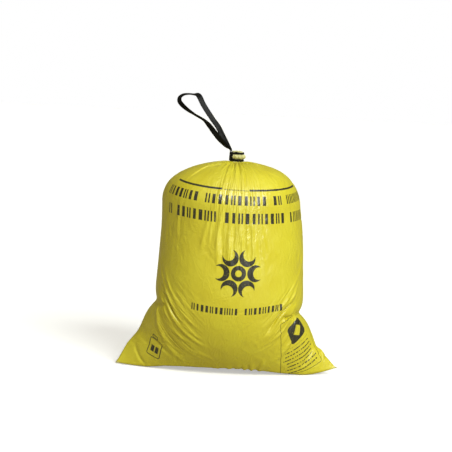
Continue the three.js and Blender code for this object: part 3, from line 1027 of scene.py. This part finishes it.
def rosette_group():
    """A printed ornament: six crescents round a ring."""
    tree, nodes, given, out = shader_group("printed rosette", {
        "Middle across": 0.0, "Middle up": 0.0, "Radius": 0.05}, ["Ink"])
    s, v = nodes.parts(given["Flat film"])
    x = (s - given["Middle across"]) / given["Radius"]
    y = (v - given["Middle up"]) / given["Radius"]
    far = nodes.hypot(x, y)
    sixth = math.pi / 3
    turn = (y.made("ARCTAN2", x) + 18.5 * sixth).made("MODULO", sixth) - sixth / 2
    out_x, side = far * turn.made("COSINE"), abs(far * turn.made("SINE"))

    def circle(middle, radius):
        reach = nodes.hypot(out_x - middle, side)
        return nodes.ramp(reach - radius, -0.007, 0.007, 1.0, 0.0)

    crescent = circle(0.68, 0.33) * (1.0 - circle(0.83, 0.245))
    ring = nodes.inside(far, 0.13, 0.30, 0.008)
    nodes.feed(out["Ink"], crescent.made("MAXIMUM", ring))
    return tree


def dash_rows_group():
    """A block of fine printed rows, each broken into short dashes."""
    tree, nodes, given, out = shader_group("dash rows", {
        "Middle across": 0.0, "Middle up": 0.0, "Half width": 0.03, "Half height": 0.03,
        "Row pitch": 0.01, "Tilt": 0.0}, ["Ink"])
    x, y = nodes.parts(placed(nodes, given))
    row = (y + given["Half height"]) / given["Row pitch"]
    number = row.made("FLOOR")
    line = nodes.inside(row.made("FRACT"), 0.30, 0.58, 0.06)
    words = nodes.ramp(nodes.noise(nodes.combined(x * 330.0, number * 7.3), 1.0, 1.0), 0.40, 0.47)
    reach = nodes.white_noise(number) * -0.008 + given["Half width"]
    block = nodes.inside(x, -reach, reach, 0.0005) * nodes.inside(abs(y), -1.0, given["Half height"])
    nodes.feed(out["Ink"], line * words * block)
    return tree


def film_crinkle_group():
    """Fine wrinkles of thin film: long soft ones, short sharp ones and a faint grain."""
    tree, nodes, given, out = shader_group("film crinkle", {"Stretch": 1.0}, ["Height", "Gloss"])
    flat = given["Flat film"]
    s, v = nodes.parts(flat)
    drawn = nodes.combined(s * given["Stretch"], v)
    slant = nodes.vector("MULTIPLY", nodes.turned(flat, 0.75), (2.6, 1.0, 1.0))

    def ridges(vector, scale, steep, detail, warp):
        away = abs(nodes.noise(vector, scale, detail, 0.5, warp) - 0.5)
        return nodes.math("SUBTRACT", 1.0, away * steep, clamp=True)

    def drawn_lines(degrees, scale):
        turned = nodes.turned(flat, math.radians(degrees))
        return ridges(nodes.vector("MULTIPLY", turned, (1.0, 0.10, 1.0)), scale, 6.0, 2.0, 0.1)

    def patch(middle_s, middle_v, half_s, half_v):
        far = nodes.hypot((s - middle_s) / half_s, (v - middle_v) / half_v)
        return nodes.ramp(far, 0.35, 1.0, 1.0, 0.0)

    folds = ridges(drawn, 26.0, 3.2, 2.0, 0.8)
    sharp = ridges(slant, 34.0, 5.0, 3.0, 0.5)
    lines = drawn_lines(-52.0, 95.0) * patch(-0.135, 0.180, 0.105, 0.120)
    lines = lines + drawn_lines(50.0, 85.0) * patch(0.150, 0.190, 0.090, 0.110)
    lines = lines + drawn_lines(2.0, 120.0) * patch(0.012, 0.430, 0.085, 0.175)
    lines = lines + drawn_lines(-3.0, 110.0) * nodes.ramp(v, 0.49, 0.60)
    where = nodes.ramp(nodes.noise(flat, 7.0), 0.42, 0.62)
    height = sharp * where * 0.55 + folds.made("POWER", 2.0) * 0.35
    height = height + lines * 0.95 + nodes.noise(flat, 420.0) * 0.05
    nodes.feed(out["Height"], height)
    nodes.feed(out["Gloss"], nodes.noise(flat, 18.0, 3.0, 0.6))
    return tree


def film_ink(nodes, flat):
    """Every printed mark on the front of the bag, as one mask."""
    bar_row, line, box = bar_row_group(), printed_line_group(), printed_box_group()
    rosette, dashes = rosette_group(), dash_rows_group()

    def mark(tree, output, **values):
        node = nodes.add("ShaderNodeGroup", node_tree=tree)
        nodes.feed(node.inputs["Flat film"], flat)
        for key, value in values.items():
            nodes.feed(node.inputs[key.replace("_", " ").capitalize()], value)
        return Value(nodes, node.outputs[output])

    def row(left, foot, height, pitch, count, bow, *gaps):
        numbered = {"gap_%d" % (k + 1): float(gap) for k, gap in enumerate(gaps)}
        return mark(bar_row, "Ink", left=left, foot=foot, height=height, pitch=pitch,
                    count=float(count), bow=bow, **numbered)

    def patch(output, across, up, half_width, half_height, corner, thickness=0.001, tilt=0.0):
        return mark(box, output, middle_across=across, middle_up=up, half_width=half_width,
                    half_height=half_height, corner=corner, line=thickness, tilt=tilt)

    square_hole = patch("Filled", 0.169, 0.143, 0.011, 0.011, 0.002, tilt=math.radians(30))
    square = patch("Filled", 0.169, 0.143, 0.026, 0.023, 0.008, tilt=math.radians(-14))
    marks = [
        mark(line, "Ink", left=-0.162, right=-0.026, foot=0.4655, thickness=0.0046, bow=0.34),
        mark(line, "Ink", left=0.038, right=0.205, foot=0.4655, thickness=0.0042, bow=0.28),
        row(-0.022, 0.4655, 0.0026, 0.0036, 16, 0.0),
        row(-0.178, 0.4355, 0.0195, 0.01435, 28, 0.22, 7, 18, 21),
        row(-0.166, 0.3985, 0.0215, 0.01480, 26, 0.10, 1, 9, 20),
        row(-0.077, 0.2155, 0.0140, 0.00990, 20, 0.10, 10),
        mark(rosette, "Ink", middle_across=0.018, middle_up=0.2995, radius=0.0515),
        patch("Outline", 0.171, 0.108, 0.050, 0.072, 0.004, 0.0011),
        square * (1.0 - square_hole),
        mark(dashes, "Ink", middle_across=0.170, middle_up=0.076, half_width=0.042,
             half_height=0.036, row_pitch=0.0098, tilt=math.radians(-8)),
        patch("Outline", -0.161, 0.084, 0.017, 0.023, 0.005, 0.0020, math.radians(6)),
        patch("Filled", -0.166, 0.082, 0.0045, 0.0085, 0.0010, tilt=math.radians(6)),
        patch("Filled", -0.155, 0.081, 0.0040, 0.0085, 0.0010, tilt=math.radians(6)),
        patch("Outline", -0.162, 0.1125, 0.0085, 0.0050, 0.0030, 0.0018, math.radians(6)),
    ]
    ink = marks[0]
    for other in marks[1:]:
        ink = ink.made("MAXIMUM", other)
    return ink * nodes.ramp(nodes.noise(flat, 260.0, 3.0, 0.6), 0.30, 0.42, 0.72, 1.0)


# The hem's colour is paler and creamier than the film: partly the doubled film's own tone, partly
# painted highlight for the glints on the crumpled hem.
HEM_TONE_AND_GLINT_COLOR, SEAL_COLOR = (0.84, 0.80, 0.36, 1), (0.86, 0.82, 0.38, 1)


def film_material():
    settings = bpy.context.scene.bag_film
    material, nodes, shader = new_material("printed yellow film")
    flat = nodes.add("ShaderNodeUVMap", uv_map="FilmFlat").outputs[0]
    cloud = nodes.noise(flat, 9.0, 3.0, 0.55)
    base = tuple(settings.film_color)
    deep = tuple(c * f for c, f in zip(base, (0.94, 0.90, 0.80)))
    film = nodes.blend(nodes.ramp(cloud, 0.3, 0.7), (*deep, 1), (*base, 1))
    v = nodes.parts(flat)[1]
    # Above the film's length the hem turns pale: doubled film, and painted highlight for the glints on
    # its crumples.
    doubled_hem_and_glints = nodes.ramp(v, settings.film_length - 0.004, settings.film_length + 0.003)
    film = nodes.blend(doubled_hem_and_glints, film, HEM_TONE_AND_GLINT_COLOR)
    sealed = nodes.ramp(v, 0.004, 0.009, 1.0, 0.0)
    film = nodes.blend(sealed * 0.45, film, SEAL_COLOR)
    ink = film_ink(nodes, flat)
    nodes.feed(shader.inputs["Base Color"], nodes.blend(ink, film, (*settings.ink_color, 1)))
    crinkle = nodes.add("ShaderNodeGroup", node_tree=film_crinkle_group())
    nodes.feed(crinkle.inputs["Flat film"], flat)
    nodes.feed(crinkle.inputs["Stretch"], 1.8)
    nodes.feed(shader.inputs["Roughness"], nodes.ramp(crinkle.outputs["Gloss"], 0.3, 0.7, 0.33, 0.50))
    bump = nodes.add("ShaderNodeBump", {"Strength": 0.7, "Distance": 0.0017,
                                        "Height": crinkle.outputs["Height"]})
    nodes.feed(shader.inputs["Normal"], bump)
    shader.inputs["Specular IOR Level"].default_value = 1.0
    return material


# Where the camera and the soft boxes look, and what the unseen room and floor give back.
CAMERA_AIM, SENSOR_WIDTH = (-0.0158, 0.0, 0.3045), 36.0
LIGHT_AIM, FLOOR_GAP = (0, 0, 0.25), 0.0005
ROOM_COLOR, ROOM_STRENGTH = (1, 0.88, 0.60, 1), 0.20
FLOOR_BOUNCE, FLOOR_GLOW = (0.42, 0.38, 0.26, 1), 0.46

# Far lights: direction they come from, strength, spread in degrees, colour.
FAR_LIGHTS = {
    "key_sun": ((0.48, -0.72, 0.52), 2.35, 30.0, (0.95, 1.0, 0.97)),
    "top_sun": ((0.05, -0.20, 1.0), 0.45, 50.0, (0.95, 1.0, 1.0)),
    "fill_sun": ((-0.75, -0.8, 0.35), 0.22, 60.0, (1.0, 0.86, 0.55)),
}
# Soft boxes: place, width and height, power.
SOFT_BOXES = {
    "right_softbox": ((1.1, -1.7, 1.7), (1.5, 1.2), 15.0),
    "left_softbox": ((-1.2, -1.5, 1.9), (0.9, 0.9), 4.0),
}


def place_light(name, kind, towards, strength):
    light = bpy.data.lights.new(name, kind)
    light.energy = strength
    obj = bpy.data.objects.new(name, light)
    obj.rotation_euler = towards.to_track_quat("-Z", "Y").to_euler()
    bpy.context.scene.collection.objects.link(obj)
    return obj


class BAG_OT_stage(bpy.types.Operator):
    """Set up the camera, the pale floor and the soft studio light"""

    bl_idname = "waste_bag.stage"
    bl_label = "Camera, floor and light"

    def execute(self, context):
        settings = context.scene.bag_studio
        self.add_camera(context, settings)
        self.add_floor(settings)
        self.add_lights(context)
        return {"FINISHED"}

    def add_camera(self, context, settings):
        data = bpy.data.cameras.new("studio_camera")
        data.sensor_fit = "HORIZONTAL"
        data.sensor_width = SENSOR_WIDTH
        data.lens = SENSOR_WIDTH * settings.camera_distance / settings.view_span
        data.clip_end = 200.0
        camera = bpy.data.objects.new("studio_camera", data)
        elevation, azimuth = settings.camera_elevation, settings.camera_azimuth
        aim = Vector(CAMERA_AIM)
        away = Vector((math.sin(azimuth) * math.cos(elevation),
                       -math.cos(azimuth) * math.cos(elevation), math.sin(elevation)))
        camera.location = aim + away * settings.camera_distance
        level = (-away).to_track_quat("-Z", "Y").to_matrix().to_4x4()
        lean = Matrix.Rotation(settings.camera_roll, 4, "Z")
        camera.matrix_world = Matrix.Translation(camera.location) @ level @ lean
        context.scene.collection.objects.link(camera)
        context.scene.camera = camera

    def add_floor(self, settings):
        half = settings.floor_size / 2
        corners = [(-half, -half, 0), (half, -half, 0), (half, half, 0), (-half, half, 0)]
        floor = new_object("studio_floor", corners, [(0, 1, 2, 3)])
        floor.location.z = -FLOOR_GAP
        material, nodes, shader = new_material("pale floor")
        grain = nodes.noise(nodes.add("ShaderNodeTexCoord").outputs["Object"], 6.0)
        base = tuple(settings.floor_color)
        seen = nodes.add("ShaderNodeLightPath").outputs["Is Camera Ray"]
        pale = nodes.blend(grain, (*(c * 0.99 for c in base), 1), (*base, 1))
        nodes.feed(shader.inputs["Base Color"], nodes.blend(seen, FLOOR_BOUNCE, pale))
        nodes.feed(shader.inputs["Emission Color"], (1, 1, 1, 1))
        nodes.feed(shader.inputs["Emission Strength"], nodes.math("MULTIPLY", seen, FLOOR_GLOW))
        shader.inputs["Roughness"].default_value = 0.8
        shader.inputs["Specular IOR Level"].default_value = 0.2
        floor.data.materials.append(material)

    def add_lights(self, context):
        context.scene.view_settings.view_transform = "Standard"
        world = bpy.data.worlds.new("studio_world")
        world.use_nodes = True
        context.scene.world = world
        nodes = Nodes(world.node_tree)
        seen = nodes.add("ShaderNodeBackground", {"Color": (1, 1, 1, 1), "Strength": 1.0})
        felt = nodes.add("ShaderNodeBackground", {"Color": ROOM_COLOR, "Strength": ROOM_STRENGTH})
        choice = nodes.add("ShaderNodeMixShader", {
            0: nodes.add("ShaderNodeLightPath").outputs["Is Camera Ray"], 1: felt, 2: seen})
        end = next(n for n in world.node_tree.nodes if n.type == "OUTPUT_WORLD")
        nodes.feed(end.inputs["Surface"], choice)
        for name, (source, strength, spread, color) in FAR_LIGHTS.items():
            sun = place_light(name, "SUN", -Vector(source), strength)
            sun.data.angle, sun.data.color = math.radians(spread), color
        for name, (place, size, power) in SOFT_BOXES.items():
            box = place_light(name, "AREA", Vector(LIGHT_AIM) - Vector(place), power)
            box.location = place
            box.data.shape = "RECTANGLE"
            box.data.size, box.data.size_y = size


# ---------------------------------------------------------------- panel and run


class BAG_PT_panel(bpy.types.Panel):
    bl_label = "Waste bag"
    bl_idname = "BAG_PT_panel"
    bl_space_type = "VIEW_3D"
    bl_region_type = "UI"
    bl_category = "Waste bag"

    def draw(self, context):
        layout = self.layout
        for settings in (context.scene.bag_film, context.scene.bag_tape, context.scene.bag_studio):
            box = layout.box()
            for name in settings.__annotations__:
                box.prop(settings, name)
        for operator in (BAG_OT_stage, BAG_OT_tape_loop, BAG_OT_neck_tape, BAG_OT_film_bag):
            layout.operator(operator.bl_idname)


CLASSES = (FilmBagSettings, TapeSettings, StudioSettings, BAG_OT_stage, BAG_OT_tape_loop,
           BAG_OT_neck_tape, BAG_OT_film_bag, BAG_PT_panel)


def register():
    for cls in CLASSES:
        bpy.utils.register_class(cls)
    bpy.types.Scene.bag_film = PointerProperty(type=FilmBagSettings)
    bpy.types.Scene.bag_tape = PointerProperty(type=TapeSettings)
    bpy.types.Scene.bag_studio = PointerProperty(type=StudioSettings)


def unregister():
    del bpy.types.Scene.bag_film, bpy.types.Scene.bag_tape, bpy.types.Scene.bag_studio
    for cls in reversed(CLASSES):
        bpy.utils.unregister_class(cls)


def main():
    register()
    bpy.ops.waste_bag.stage()
    bpy.ops.waste_bag.tape_loop()
    bpy.ops.waste_bag.neck_tape()
    bpy.ops.waste_bag.film_bag()


if __name__ == "__main__":
    main()
